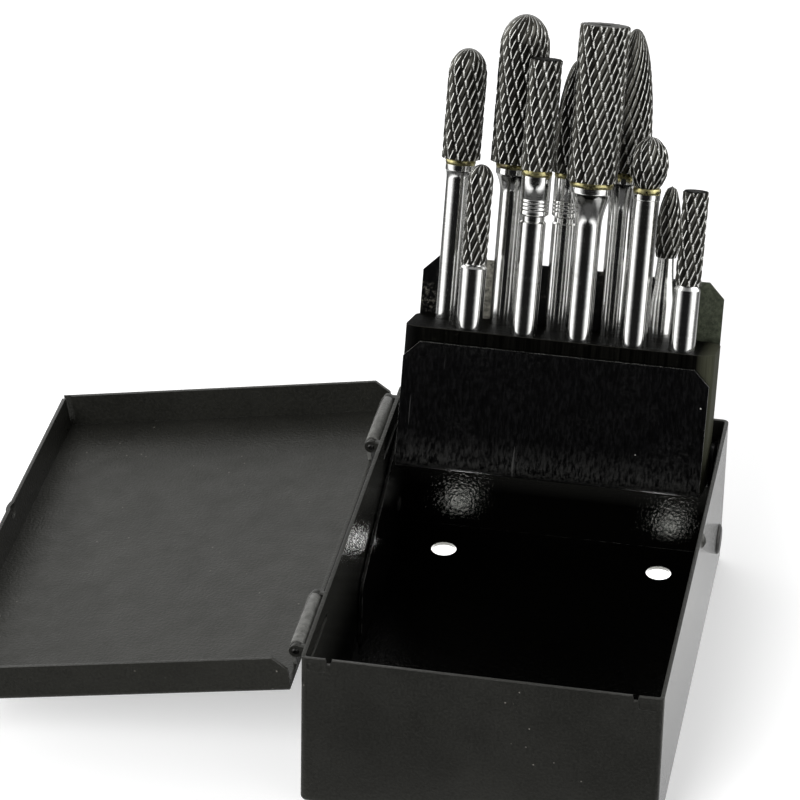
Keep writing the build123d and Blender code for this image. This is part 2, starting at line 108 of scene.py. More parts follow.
# %% Node helpers
class Finish:
    def __init__(self, name, **settings):
        self.material = bpy.data.materials.new(name)
        self.material.use_nodes = True
        self.tree = self.material.node_tree
        self.shader = self.tree.nodes["Principled BSDF"]
        for socket, value in settings.items():
            self.shader.inputs[socket.replace("_", " ")].default_value = value
        self.place = self.tree.nodes.new("ShaderNodeTexCoord").outputs["Object"]

    def add(self, kind, inputs=None, **properties):
        node = self.tree.nodes.new("ShaderNode" + kind)
        for key, value in properties.items():
            setattr(node, key, value)
        for key, value in (inputs or {}).items():
            if isinstance(value, bpy.types.NodeSocket):
                self.tree.links.new(value, node.inputs[key])
            else:
                node.inputs[key].default_value = value
        return node

    def turned(self, turn=(0, 0, 0), stretch=(1, 1, 1)):
        """The piece's own coordinates, turned and then stretched."""
        flat = self.add("Mapping", {"Vector": self.place, "Rotation": turn})
        return self.add("Mapping", {"Vector": flat.outputs[0], "Scale": stretch}).outputs[0]

    def noise(self, scale, detail=3.0, rough=0.5, place=None, distortion=0.0):
        sockets = {"Vector": place or self.place, "Scale": scale, "Detail": detail, "Roughness": rough}
        sockets["Distortion"] = distortion
        return self.add("TexNoise", sockets).outputs["Fac"]

    def cells(self, scale, place=None):
        return self.add("TexVoronoi", {"Vector": place or self.place, "Scale": scale}).outputs["Distance"]

    def ranged(self, value, low, high, to_low=0.0, to_high=1.0):
        sockets = {"Value": value, "From Min": low, "From Max": high, "To Min": to_low, "To Max": to_high}
        return self.add("MapRange", sockets).outputs["Result"]

    def calc(self, operation, a, b=0.0):
        return self.add("Math", {0: a, 1: b}, operation=operation).outputs[0]

    def blend(self, share, a, b):
        colours = [(*c, 1) if isinstance(c, tuple) else c for c in (a, b)]
        return self.add("Mix", {0: share, 6: colours[0], 7: colours[1]}, data_type="RGBA").outputs[2]

    def mark(self, name):
        return self.add("Attribute", attribute_name=name).outputs["Fac"]

    def bump(self, height, distance, strength=1.0, over=None):
        sockets = {"Height": height, "Distance": distance, "Strength": strength}
        if over is not None:
            sockets["Normal"] = over
        return self.add("Bump", sockets).outputs["Normal"]

    def drive(self, **sockets):
        for name, value in sockets.items():
            self.tree.links.new(value, self.shader.inputs[name.replace("_", " ")])
        return self.material


print("finish helpers ready")

# %% [markdown]
# ## The black enamel of the case and lid
# Cheap steel cases are sprayed with a satin black enamel. Up close it has a fine pebbled skin, the gloss
# varies in soft clouds and a few specks of dust are stuck in it. The folded edges are painted a lighter grey,
# partly enamel rubbed thin and partly a painted highlight. Seen at a glancing angle it turns almost
# mirror-like, which greys the right wall.
# Three marks come from the meshes. The edge mark is 1 on the narrow strips where edges were rounded. `inside`
# is 1 on the inner walls and floor, where the spray is smoother and the colour is painted shade, black at the
# bottom and a lighter grey towards the rim. `rolled` is 1 on the lid's curled knuckles, which are painted grey,
# partly wear and partly a painted highlight along the curl. Heights here are in metres.


# %% Case enamel
# Heights in metres where the painted shade inside is at its darkest and at its lightest.
INSIDE_SHADE_LOW, INSIDE_SHADE_HIGH = 0.012, 0.032
OUTER_SHINE, LINING_SHINE = 0.45, 0.4


def enamel(name, colour, pale, pebble, gloss, edge, lined=False):
    f = Finish(name, Specular_Tint=(1, 1, 0.93, 1), Specular_IOR_Level=OUTER_SHINE)
    clouds = f.noise(55, 4, 0.6)
    grain = f.noise(1500, 2, 0.55)
    shade = f.calc("ADD", f.calc("MULTIPLY", clouds, 0.4), f.calc("MULTIPLY", grain, 0.6))
    body = f.blend(f.ranged(shade, 0.38, 0.62), colour, pale)
    dots = f.calc("LESS_THAN", f.cells(330), 0.07)
    lint = f.calc("MULTIPLY", dots, f.ranged(f.noise(38, 1), 0.56, 0.6))
    body = f.blend(f.calc("MULTIPLY", lint, 0.55), body, (0.2, 0.19, 0.17))
    # The rounded edges are painted a lighter grey, partly enamel rubbed thin and partly a painted highlight.
    rub_and_highlight = f.calc("MULTIPLY", f.mark("rounded_edge"), f.ranged(f.noise(420, 3, 0.7), 0.42, 0.62))
    # Inside, the colour is painted shade: near black low down and a lighter grey towards the rim.
    height = f.add("SeparateXYZ", {"Vector": f.place}).outputs["Z"]
    inside_shade = f.ranged(height, INSIDE_SHADE_LOW, INSIDE_SHADE_HIGH)
    inside_shade = f.blend(inside_shade, (0.0008, 0.0008, 0.0007), (0.06, 0.06, 0.054))
    body = f.blend(f.mark("inside"), body, inside_shade)
    body = f.blend(f.calc("MULTIPLY", rub_and_highlight, edge), body, (0.23, 0.23, 0.22))
    # The knuckles are painted grey, partly wear and partly a painted highlight along the curl.
    rolled = f.calc("MULTIPLY", f.mark("rolled"), f.ranged(f.noise(500, 3, 0.7), 0.3, 0.7, 0.25, 0.8))
    body = f.blend(rolled, body, (0.2, 0.2, 0.19))
    if lined:
        f.drive(Specular_IOR_Level=f.ranged(f.mark("inside"), 0.0, 1.0, OUTER_SHINE, LINING_SHINE))
    skin = f.bump(grain, 0.00018, pebble)
    waves = f.bump(f.noise(70, 2), 0.0004, 0.04, skin)
    rough = f.ranged(f.noise(160, 3, 0.6), 0.3, 0.7, gloss - 0.05, gloss + 0.07)
    facing = f.add("LayerWeight", {"Blend": 0.5}).outputs["Facing"]
    rough = f.calc("MULTIPLY", rough, f.ranged(facing, 0.6, 0.84, 1.0, 0.3))
    rough = f.calc("MULTIPLY", rough, f.ranged(f.mark("inside"), 0.0, 1.0, 1.0, 0.4))
    return f.drive(Base_Color=body, Roughness=rough, Normal=waves)


case_enamel = enamel("case_enamel", (0.0095, 0.0095, 0.0084), (0.0185, 0.0185, 0.0166), 0.85, 0.36, 0.35, True)
lid_enamel = enamel("lid_enamel", (0.011, 0.011, 0.0095), (0.019, 0.0189, 0.0165), 0.8, 0.4, 0.35)
cheek_enamel = enamel("cheek_enamel", (0.004, 0.004, 0.004), (0.008, 0.008, 0.0075), 0.25, 0.27, 0.6)
print("enamels", case_enamel.name, lid_enamel.name, cheek_enamel.name)

# %% [markdown]
# ## The oxide-blacked bracket
# The bracket is bare sheet that was blackened in a bath. It stays streaky: fine runs lie along the direction
# the sheet was dipped and gather in a grey fuzz at the lower bend, the tall back flap has mottled patches of
# nearly bare steel and a faded right end, and there are a few scratches. The rounded edges are painted pale,
# partly bare sheared steel and partly a painted highlight.
# `rise` is the height in metres along the leaning sheet, so each band of wear is a range of it.

# %% Bracket black oxide
FUZZ_CLEAR, FUZZ_FULL = 0.0525, 0.0445
TOP_BAND, PATCH_BAND = (0.076, 0.079), (0.0765, 0.0785)
PATCH_LEFT, FADED_END = 0.0208, (0.027, 0.033)
f = Finish("bracket_oxide", Specular_IOR_Level=0.28)
upright = f.turned((HOLDER_LEAN, 0, 0), (1, 1, 0.3))
rise = f.add("SeparateXYZ", {"Vector": f.turned((HOLDER_LEAN, 0, 0))}).outputs["Z"]
runs = f.noise(1800, 4, 0.72, upright, 0.4)
mottle = f.noise(1100, 4, 0.75)
patches = f.noise(42, 3, 0.6, distortion=0.8)
grey = f.blend(f.ranged(runs, 0.5, 0.75), (0.0002, 0.0002, 0.0003), (0.0046, 0.0046, 0.005))
fuzz = f.calc("MULTIPLY", f.ranged(rise, FUZZ_CLEAR, FUZZ_FULL), f.ranged(runs, 0.42, 0.6))
grey = f.blend(f.calc("MULTIPLY", fuzz, 0.9), grey, (0.022, 0.022, 0.021))
speckle = f.calc("MULTIPLY", f.ranged(mottle, 0.5, 0.7), f.ranged(patches, 0.48, 0.62))
grey = f.blend(f.calc("MULTIPLY", speckle, 0.35), grey, (0.03, 0.03, 0.029))
bare = f.calc("MULTIPLY", f.ranged(rise, *TOP_BAND), speckle)
grey = f.blend(bare, grey, (0.2, 0.19, 0.155))
sideways = f.add("SeparateXYZ", {"Vector": f.place}).outputs["X"]
from_patch = f.calc("ABSOLUTE", f.calc("ADD", sideways, PATCH_LEFT))
ragged = f.calc("ADD", from_patch, f.ranged(f.noise(380, 4, 0.7), 0.3, 0.7, -0.0028, 0.0028))
patch = f.calc("MULTIPLY", f.ranged(ragged, 0.0036, 0.0008), f.ranged(rise, *PATCH_BAND))
grey = f.blend(f.calc("MULTIPLY", patch, f.ranged(mottle, 0.35, 0.6, 0.2, 1.0)), grey, (0.36, 0.35, 0.3))
faded = f.calc("MULTIPLY", f.ranged(sideways, *FADED_END), f.ranged(rise, *TOP_BAND))
faded = f.calc("MULTIPLY", faded, f.ranged(mottle, 0.35, 0.65, 0.35, 1.0))
grey = f.blend(faded, grey, (0.1, 0.115, 0.078))
flecks = f.calc("LESS_THAN", f.cells(210), 0.045)
flecks = f.calc("MULTIPLY", flecks, f.ranged(f.noise(60, 1), 0.55, 0.6))
grey = f.blend(flecks, grey, (0.3, 0.3, 0.28))
scratch_place = f.turned((HOLDER_LEAN, 0, 0), (1, 0.02, 0.03))
scratches = f.calc("GREATER_THAN", f.noise(900, 1, 0.5, scratch_place), 0.77)
grey = f.blend(f.calc("MULTIPLY", scratches, 0.5), grey, (0.06, 0.06, 0.058))
# The rounded edges are painted pale, partly bare sheared steel and partly a painted highlight.
shear_and_highlight = f.calc("MULTIPLY", f.mark("rounded_edge"), f.ranged(f.noise(300, 3, 0.7), 0.3, 0.5))
grey = f.blend(f.calc("MULTIPLY", shear_and_highlight, 0.9), grey, (0.4, 0.4, 0.38))
rough = f.ranged(runs, 0.3, 0.75, 0.3, 0.52)
bracket_oxide = f.drive(Base_Color=grey, Roughness=rough, Normal=f.bump(runs, 0.00004, 0.5))
print("finish", bracket_oxide.name)

# %% [markdown]
# ## The block
# The block is a dense black board. A saw left fine upright lines all round it, which catch the light as faint
# grey threads. Its top is cut clean, and its right end is painted a lighter, dull olive.

# %% Block fibre
LIGHTER_END = (0.0335, 0.0365)
f = Finish("block_fibre", Specular_IOR_Level=0.02)
grain_place = f.turned((HOLDER_LEAN, 0, 0), (1, 1, 0.025))
saw = f.noise(1300, 4, 0.7, grain_place)
dust = f.noise(500, 4, 0.7)
fibre = f.blend(f.ranged(saw, 0.4, 0.7), (0.0004, 0.0004, 0.0003), (0.0036, 0.0035, 0.0029))
fibre = f.blend(f.calc("MULTIPLY", f.ranged(dust, 0.6, 0.75), 0.2), fibre, (0.03, 0.029, 0.024))
fibre = f.blend(f.calc("MULTIPLY", f.mark("rounded_edge"), 0.25), fibre, (0.06, 0.058, 0.05))
sideways = f.add("SeparateXYZ", {"Vector": f.place}).outputs["X"]
# The right end is painted a lighter, dull olive.
sawn_end = f.calc("MULTIPLY", f.ranged(sideways, *LIGHTER_END), f.ranged(saw, 0.3, 0.6, 0.5, 1.0))
fibre = f.blend(sawn_end, fibre, (0.06, 0.062, 0.042))
block_board = f.drive(Base_Color=fibre, Roughness=f.ranged(saw, 0.3, 0.7, 0.45, 0.62),
                      Normal=f.bump(saw, 0.00012, 0.7))
print("finish", block_board.name)

# %% [markdown]
# ## Ground steel
# The shanks are ground between wheels, so their marks run round them, at right angles to the axis. The noise is
# squeezed across and left alone along the burr, which draws it out into rings. Brownish stains and a few pits
# keep the metal from looking new.

# %% Steel of the shanks
f = Finish("shank_steel", Metallic=1.0)
rings = f.noise(2600, 3, 0.6, f.turned((HOLDER_LEAN, 0, 0), (0.04, 0.04, 1)))
stains = f.noise(140, 5, 0.7)
pits = f.calc("MULTIPLY", f.calc("LESS_THAN", f.cells(700), 0.1), f.ranged(f.noise(90, 2), 0.5, 0.62))
steel = f.blend(f.ranged(rings, 0.3, 0.7), (0.74, 0.74, 0.72), (0.86, 0.86, 0.845))
steel = f.blend(f.calc("MULTIPLY", f.ranged(stains, 0.55, 0.75), 0.45), steel, (0.3, 0.29, 0.265))
steel = f.blend(f.calc("MULTIPLY", pits, 0.6), steel, (0.1, 0.095, 0.085))
rough = f.ranged(rings, 0.25, 0.75, 0.1, 0.17)
shank_steel = f.drive(Base_Color=steel, Roughness=rough, Normal=f.bump(rings, 0.00001, 0.35))
print("finish", shank_steel.name)

# %% [markdown]
# ## Carbide
# The carbide is a dark grey metal. Its colour also carries painted light: the flute roots are painted near
# black as shade, and each tooth's edge is painted near white as a highlight. The `cut` mark comes from the
# flute cutter below: 0 at a tooth's edge and 1 at the bottom of a flute. Its `chip` mark is 1 on the little
# facets that the second set of flutes leaves across the teeth, which are painted white as highlights. Edges
# and chips are made less metallic than the flutes, so their painted highlights show from all sides.

# %% Carbide of the heads
f = Finish("carbide")
cut = f.mark("cut")
wheel = f.noise(2400, 3, 0.6, f.turned((HOLDER_LEAN, 0, 0), (1, 1, 0.3)))
dark = f.blend(f.ranged(wheel, 0.3, 0.7), (0.06, 0.058, 0.05), (0.115, 0.112, 0.098))
# Tooth edges are painted near white as a highlight, and the next blend paints the flute roots near black as
# shade.
tooth = f.blend(f.ranged(cut, 0.02, 0.06), (0.78, 0.78, 0.74), dark)
tooth = f.blend(f.ranged(cut, 0.55, 1.0), tooth, (0.03, 0.029, 0.024))
# The chip facets are painted near white as highlights.
tooth = f.blend(f.ranged(f.mark("chip"), 0.45, 0.75), tooth, (0.9, 0.9, 0.86))
rough = f.calc("ADD", f.ranged(cut, 0.0, 0.3, 0.22, 0.34), f.ranged(cut, 0.9, 1.0, 0.0, 0.3))
chip_highlight_metal = f.ranged(f.mark("chip"), 0.45, 0.75, 1.0, 0.55)
f.drive(Metallic=f.calc("MULTIPLY", f.ranged(cut, 0.02, 0.07, 0.35, 1.0), chip_highlight_metal))
carbide = f.drive(Base_Color=tooth, Roughness=rough, Normal=f.bump(wheel, 0.00002, 0.4))
print("finish", carbide.name)

# %% [markdown]
# ## Brass
# The head is brazed to the shank, and a ring of brass squeezes out of the joint. It froze as it flowed, so its
# skin is wavy, with dull spots where flux has burned on.

# %% Brass of the braze
f = Finish("braze_brass", Metallic=1.0)
flow = f.noise(520, 4, 0.7, distortion=0.7)
brass = f.blend(f.ranged(flow, 0.35, 0.65), (0.16, 0.14, 0.06), (0.72, 0.66, 0.33))
brass = f.blend(f.ranged(f.noise(260, 3, 0.6), 0.56, 0.68), brass, (0.12, 0.1, 0.06))
braze_brass = f.drive(Base_Color=brass, Roughness=f.ranged(flow, 0.3, 0.7, 0.18, 0.36),
                      Normal=f.bump(flow, 0.00008, 0.5))
print("finish", braze_brass.name)

# %% [markdown]
# ## Blackened fasteners
# The rivets and pins are steel that was blackened before it was set. The black is thin and slightly uneven.

# %% Blackened pins and rivets
f = Finish("fastener_black", Metallic=1.0)
skin = f.noise(900, 3, 0.6)
black = f.blend(f.ranged(skin, 0.3, 0.7), (0.03, 0.03, 0.029), (0.09, 0.089, 0.086))
fastener_black = f.drive(Base_Color=black, Roughness=f.ranged(skin, 0.3, 0.7, 0.3, 0.45),
                         Normal=f.bump(skin, 0.00003, 0.5))
print("finish", fastener_black.name)

# %% [markdown]
# ## Sheet-metal pieces
# The folded sheets have the right shape already. What gives them away is their knife-sharp edges, since
# enamel and handling round every real one. So each sheet is a copy of its solid: the loose triangles are
# merged, flat regions are joined again, and the sharp edges get a tiny round bevel. The strips that the bevel
# makes get an edge mark, which the finishes paint lighter, and the inner faces and rolled knuckles get their
# own marks by where they lie.


# %% Round the edges of a copied solid
INNER_X, INNER_Y, INNER_FLOOR, INNER_RIM = 41.3, 61.3, 0.8, 39.0
KNUCKLE_REACH = 2.2
FLAT_ANGLE, CRISP_ANGLE = radians(0.4), radians(28)


def is_inside(at):
    across, deep = abs(at.x) < INNER_X * MM, abs(at.y) < INNER_Y * MM
    return across and deep and INNER_FLOOR * MM < at.z < INNER_RIM * MM


def is_rolled(at):
    return hypot(at.x - LID_HINGE.x, at.z - LID_HINGE.z) < KNUCKLE_REACH * MM


def dressed(node, name, body, finish, width, marks=()):
    bm = bmesh.new()
    bm.from_mesh(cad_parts[node].data)
    bmesh.ops.remove_doubles(bm, verts=bm.verts, dist=1e-6)
    bmesh.ops.recalc_face_normals(bm, faces=bm.faces)
    bmesh.ops.dissolve_limit(bm, angle_limit=FLAT_ANGLE, verts=bm.verts, edges=bm.edges, delimit={"NORMAL"})
    rounded_edge = bm.faces.layers.float.new("rounded_edge")
    crisp = [e for e in bm.edges if len(e.link_faces) == 2 and e.calc_face_angle(0) > CRISP_ANGLE]
    made = bmesh.ops.bevel(bm, geom=crisp, offset=width * MM, offset_type="OFFSET", affect="EDGES",
                           segments=2, profile=0.5, material=-1, clamp_overlap=True)
    for face in made["faces"]:
        face[rounded_edge] = 1.0
    for mark, belongs in marks:
        layer = bm.faces.layers.float.new(mark)
        for face in bm.faces:
            face[layer] = float(belongs(face.calc_center_median()))
    piece = make_piece(bm, name, body, finish, [node])
    print(name, "edges rounded", len(crisp), "faces", len(piece.data.polygons))
    return piece


dressed("case_body", "case_tray", "case", case_enamel, 0.1, [("inside", is_inside)])
dressed("lid_shell", "lid_tray", "lid", lid_enamel, 0.1, [("rolled", is_rolled)])
dressed("holder_bracket", "bracket_sheet", "holder", bracket_oxide, 0.12)
dressed("holder_block", "block_board", "holder", block_board, 0.15)
for side in ("left", "right"):
    dressed("cheek_" + side, "cheek_plate_" + side, "case", cheek_enamel, 0.12)

# %% [markdown]
# ## Turned pieces
# Pins, rivets, shanks and brazes are all solids of revolution. The quickest way to one is a half profile of
# a few points, spun once round the axis. A profile with rounded corners catches a highlight at each step.


# %% Spin a profile
def spun(profile, steps, matrix):
    bm = bmesh.new()
    verts = [bm.verts.new((radius * MM, 0, height * MM)) for radius, height in profile]
    edges = [bm.edges.new(pair) for pair in zip(verts, verts[1:])]
    bmesh.ops.spin(bm, geom=verts + edges, cent=(0, 0, 0), axis=(0, 0, 1), angle=2 * pi, steps=steps,
                   use_merge=True)
    bmesh.ops.remove_doubles(bm, verts=bm.verts, dist=1e-7)
    bmesh.ops.recalc_face_normals(bm, faces=bm.faces)
    bm.transform(matrix)
    return bm


def eased(profile, size):
    """The profile with each corner cut by a small arc of three points."""
    points = [Vector(p) for p in profile]
    made = [points[0]]
    for before, corner, after in zip(points, points[1:], points[2:]):
        back, on = before - corner, after - corner
        reach = min(size, back.length / 2.2, on.length / 2.2)
        a, b = corner + back.normalized() * reach, corner + on.normalized() * reach
        made += [a, corner.lerp(a.lerp(b, 0.5), 0.42), b]
    return [tuple(p) for p in made + [points[-1]]]


print("eased corner", eased([(0, 0), (1, 0), (1, 1)], 0.2))

# %% [markdown]
# ## Rivets and pins
# Each cheek plate is held to its wall by one rivet: a low domed head outside, a collar that keeps plate and
# wall apart, and a plain end that stands just proud of the plate. The pivot pins are set in the cheeks, and
# each reaches through an ear of the bracket into a pocket in the block. The hinge pins are plain rods with
# chamfered ends. Heights in the profiles are measured outwards from the cheek's inner face.

# %% Rivets and pins of the case
CHEEK_INNER_X, CHEEK_SHEET = 38.95, 0.8
WALL_IN, WALL_OUT = 1.15, 2.05
RIVET_Y, RIVET_Z = 52.0, 11.2
RIVET_SHANK, RIVET_COLLAR, RIVET_HEAD, RIVET_TOP, RIVET_END = 1.8, 3.2, 3.8, 2.75, -0.175
PIN_SHANK, PIN_HEAD, PIN_TOP, PIN_REACH = 2.0, 3.1, 1.05, 3.15
HINGE_STATION, HINGE_PIN, HINGE_PIN_HALF = 45.5, 0.8, 12.3
EASE, HEAD_STEPS, ROD_STEPS = 0.12, 48, 32
rivet = [(0, RIVET_END), (RIVET_SHANK, RIVET_END), (RIVET_SHANK, CHEEK_SHEET), (RIVET_COLLAR, CHEEK_SHEET),
         (RIVET_COLLAR, WALL_IN), (RIVET_SHANK, WALL_IN), (RIVET_SHANK, WALL_OUT), (RIVET_HEAD, WALL_OUT),
         (RIVET_HEAD - 0.25, RIVET_TOP - 0.3), (RIVET_HEAD - 0.9, RIVET_TOP), (0, RIVET_TOP)]
pivot_pin = [(0, -PIN_REACH), (PIN_SHANK - 0.3, -PIN_REACH), (PIN_SHANK, 0.3 - PIN_REACH),
             (PIN_SHANK, CHEEK_SHEET), (PIN_HEAD, CHEEK_SHEET), (PIN_HEAD, PIN_TOP), (0, PIN_TOP)]
for sign, side in ((-1, "left"), (1, "right")):
    outwards = Matrix.Rotation(sign * pi / 2, 4, "Y")
    for profile, y, z, node in ((rivet, RIVET_Y, RIVET_Z, "cheek_rivet_"),
                                (pivot_pin, PIVOT_Y, PIVOT_Z, "pivot_pin_")):
        place = Matrix.Translation(Vector((sign * CHEEK_INNER_X, y, z)) * MM) @ outwards
        bm = spun(eased(profile, EASE), HEAD_STEPS, place)
        make_piece(bm, node + side + "_turned", "case", fastener_black, [node + side])
end, chamfer = HINGE_PIN_HALF, HINGE_PIN - 0.25
hinge_pin = [(0, -end), (chamfer, -end), (HINGE_PIN, 0.3 - end), (HINGE_PIN, end - 0.3), (chamfer, end),
             (0, end)]
for y, name in ((-HINGE_STATION, "front"), (HINGE_STATION, "back")):
    place = Matrix.Translation(LID_HINGE + Vector((0, y, 0)) * MM) @ Matrix.Rotation(pi / 2, 4, "X")
    make_piece(spun(hinge_pin, ROD_STEPS, place), "hinge_pin_" + name + "_turned", "case",
               fastener_black, ["hinge_pin_" + name])
print("turned fasteners: rivet head", 2 * RIVET_HEAD, "pivot pin", 2 * PIN_SHANK, "hinge pin", 2 * HINGE_PIN)

# %% [markdown]
# ## The ten burrs
# One table lists the burrs: where each stands, the form of its head, how its neck is made and how wide the
# steel is where the head is brazed on. The heads have five forms: a ball-nosed cylinder, a flat-ended
# cylinder, a tree, a flame and a ball.

# %% The burrs' table
# number, x, y in the holder, form, head diameter, head length, height above the block, neck, seat radius
BURRS = [
    (1, -29.45, BACK_ROW, "ball_nose", 9.5, 27.0, 66.5, "ring", 3.6),
    (2, -22.55, FRONT_ROW, "ball_nose", 6.2, 24.2, 40.1, "plain", 2.6),
    (3, -16.05, BACK_ROW, "ball_nose", 12.2, 36.1, 76.0, "ring", 4.6),
    (4, -9.15, FRONT_ROW, "flat", 7.9, 26.8, 66.9, "collar", 3.62),
    (5, -2.65, BACK_ROW, "tree", 9.5, 27.3, 66.1, "collar", 3.5),
    (6, 4.25, FRONT_ROW, "flat", 12.2, 37.6, 76.3, "taper", 5.2),
    (7, 10.75, BACK_ROW, "tree", 12.2, 34.5, 75.0, "taper", 4.9),
    (8, 17.65, FRONT_ROW, "ball", 9.4, 12.3, 50.7, "ring", 3.3),
    (9, 22.55, BACK_ROW, "flame", 6.2, 17.5, 37.9, "narrow", 2.0),
    (10, 29.45, FRONT_ROW, "flat", 6.35, 22.8, 38.8, "plain", 2.7),
]
SHANK = 6.35 / 2
BRAZE = 1.4
print("burrs", len(BURRS))

# %% [markdown]
# ## Outline of a head
# The outline gives the head's radius at any height. The ball nose is a straight side with a dome, the tree
# and flame are bowed curves, and the ball is most of a sphere. Rows of points follow it closely enough for
# the second set of flutes to show as separate teeth.


# %% Outlines
NOSE, BALL_SEAT, BALL_SPAN = 1.35, 0.82, 1.82
TREE_WIDTH, TREE_POWER = 0.985, 2.1


def dome(share):
    return sqrt(max(0.0, 1 - share * share))


def curve_through(stations, share):
    for (low, a), (high, b) in zip(stations, stations[1:]):
        if share <= high:
            t = (share - low) / (high - low)
            return a + (b - a) * (t * t * (3 - 2 * t) * 0.35 + t * 0.65)
    return stations[-1][1]


def head_radius(form, radius, length, height):
    if form == "ball_nose":
        nose = NOSE * radius
        return radius * dome(max(0.0, (height - length + nose) / nose))
    if form == "flat":
        return radius
    if form == "tree":
        return radius * TREE_WIDTH * sqrt(max(0.0, 1 - (height / length) ** TREE_POWER))
    if form == "flame":
        stations = [(0, 0.8), (0.14, 0.95), (0.3, 1.0), (0.46, 0.97), (0.62, 0.87), (0.78, 0.72), (0.9, 0.52),
                    (0.96, 0.36), (1, 0)]
        return radius * curve_through(stations, height / length)
    return radius * dome(height / (length / BALL_SPAN) - BALL_SEAT)


def head_outline(form, radius, length, row):
    """(radius, height) points from the base's middle up the side to the tip, closer together on the nose."""
    rows = ceil(length / row)
    heights = [length * k / rows for k in range(rows + 1)]
    if form != "flat":
        tip = [length * (1 - 0.5 ** k * 0.5 / rows) for k in range(1, 5)]
        heights = heights[:-1] + tip + [length]
    side = [(max(head_radius(form, radius, length, h), 0.0), h) for h in heights]
    if form == "flat":
        side = side[:-1] + [(radius - 0.3, length), (radius * 0.55, length - 0.12), (0.25, length - 0.2)]
    return [(0, 0), (side[0][0] * 0.5, 0)] + side + ([(0, length - 0.2)] if form == "flat" else [])


print("outline points", len(head_outline("tree", 6.1, 34.5, 0.25)))

# %% [markdown]
# ## Cutting the flutes
# A double-cut burr is ground twice. The main flutes climb to the right in a steep saw-tooth, and a second,
# shallower set climbs to the left and breaks each ridge into small teeth with a facet each, whose one side
# is marked for a painted highlight. Modelling it with booleans would be slow, so the spun head is displaced
# instead: its columns of points are twisted to follow the main flutes, which keeps every tooth edge sharp,
# and the second set is pressed in across them.
# The saw table gives one tooth: how far round it each column stands, and what share of the depth it drops.


# %% Displace the teeth
SAW = [(0.0, 0.0), (0.13, 0.02), (0.27, 0.22), (0.41, 0.42),
       (0.55, 0.62), (0.69, 0.82), (0.82, 1.0), (0.95, 0.55)]
MAIN_HELIX, MAIN_PITCH, MAIN_DEPTH = radians(21.5), 1.68, 0.3
CROSS_HELIX, CROSS_PITCH, CROSS_DEPTH, CROSS_WIDTH = radians(17), 3.0, 0.85, 0.19
CHIP_SIDE = -0.03
ROW, HEAD_SHARP = 0.17, 11


def cut_head(number, form, diameter, length, matrix):
    radius = diameter / 2
    flutes = round(pi * diameter / MAIN_PITCH)
    crosses = round(pi * diameter / CROSS_PITCH)
    columns = flutes * len(SAW)
    depth = MAIN_DEPTH * pi * diameter / flutes
    bm = spun(head_outline(form, radius, length, ROW), columns, Matrix.Identity(4))
    cut = bm.verts.layers.float.new("cut")
    chip = bm.verts.layers.float.new("chip")
    for vert in bm.verts:
        x, y, z = (c / MM for c in vert.co)
        local = hypot(x, y)
        share_out = local / radius
        if local < 0.3 or (form == "flat" and z > length - 0.25 and share_out < 0.94):
            vert[cut] = 1.0
            continue
        column = round(atan2(y, x) / (2 * pi) * columns) % columns
        flute, step = divmod(column, len(SAW))
        share, drop = SAW[step]
        angle = 2 * pi * (flute + share) / flutes + z * tan(MAIN_HELIX) / radius
        shallow = share_out ** 3 if form == "ball_nose" else min(1.0, share_out * 1.2) ** 1.5
        fade = 1.0 if form == "ball" else min(1.0, share_out * 1.05) ** 5
        cross = (crosses * (angle + z * tan(CROSS_HELIX) / radius) / (2 * pi)) % 1.0 - 0.5
        notch = CROSS_DEPTH * max(0.0, 1 - abs(cross) / CROSS_WIDTH) * fade
        vert[cut] = drop if drop >= notch else 0.3
        # Only the facets on one side of each notch's middle get the chip mark, which is painted as a highlight.
        vert[chip] = 1.0 if notch > drop and cross > CHIP_SIDE else 0.0
        wide = max(0.02, local - depth * shallow * max(drop, notch))
        vert.co = Vector((wide * cos(angle), wide * sin(angle), z)) * MM
    bmesh.ops.recalc_face_normals(bm, faces=bm.faces)
    bm.transform(matrix)
    name = "burr_%02d" % number
    head = [name + "_head"]
    piece = make_piece(bm, name + "_cutting_head", name, carbide, head, HEAD_SHARP)
    return piece, flutes, crosses


for number, x, y, form, diameter, length, stand, neck, seat in BURRS:
    place = mouth(x, y) @ Matrix.Translation((0, 0, (stand - length) * MM))
    piece, flutes, crosses = cut_head(number, form, diameter, length, place)
    print(piece.name, form, "flutes", flutes, "across", crosses, "faces", len(piece.data.polygons))

# %% [markdown]
# ## Shanks and brazes
# A plain shank is a ground rod with a chamfered end, a few hundredths slimmer where it slides in its bore.
# Where the head is wider, the top of the rod flares to meet it. Two burrs have a turned collar with a groove
# under it, and the small flame has a narrow neck. Between head and shank a ring of brass has squeezed out of
# the joint. Close pairs of points hold the smooth shading of a long side away from the chamfer beside it.


# %% Profiles of the shanks
IN_BORE, CHAMFER, BORE_SLIM = 26.95, 0.6, 0.06
COLLAR_LENGTH, GROOVE = 9.5, 0.42
SHOULDER, TAPER_REACH, NARROW_REACH = 1.5, 8.5, 11
STEPS, SHANK_STEPS, BRAZE_STEPS, SHANK_SHARP = 8, 72, 60, 40


